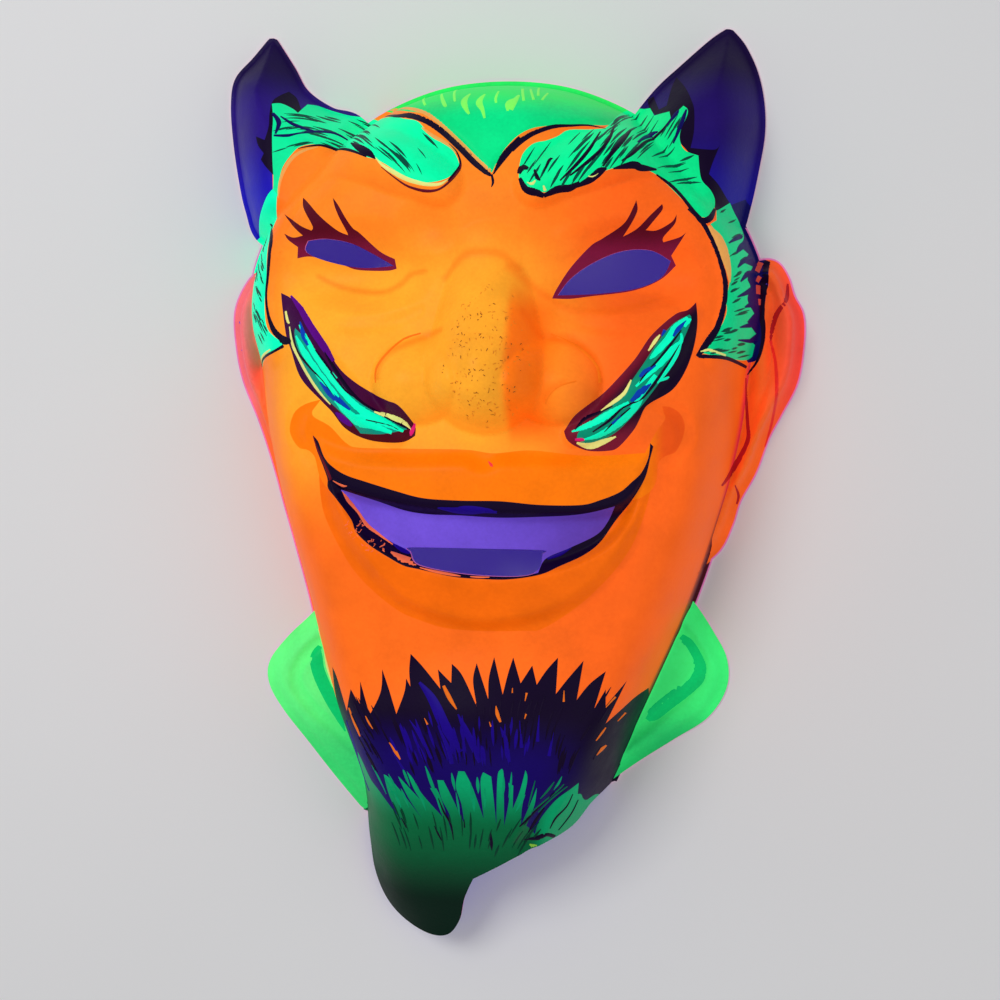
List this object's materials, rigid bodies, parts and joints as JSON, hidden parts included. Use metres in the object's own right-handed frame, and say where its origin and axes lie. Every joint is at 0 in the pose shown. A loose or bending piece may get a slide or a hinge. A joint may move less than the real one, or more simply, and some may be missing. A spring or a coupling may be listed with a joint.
{
  "type": "devil mask",
  "caption": "Vacuum-formed thin plastic devil face mask with horns, ears, moustache, open grin, goatee and shirt collar, lying face up on its rim.",
  "frame": {"origin": "on the flat surface the rim lies on, under the middle of the mask's outline", "axes": "+Z the way the face looks, +Y up the face towards the horns, +X to the viewer's right"},
  "size_m": [0.196, 0.3066, 0.079],
  "materials": {
    "painted_sheet": "thin formed plastic, bare blue-violet inside, painted outside in fluorescent orange, green and black, satin"
  },
  "bodies": {
    "root": {"mask": "painted_sheet"}
  },
  "joints": []
}
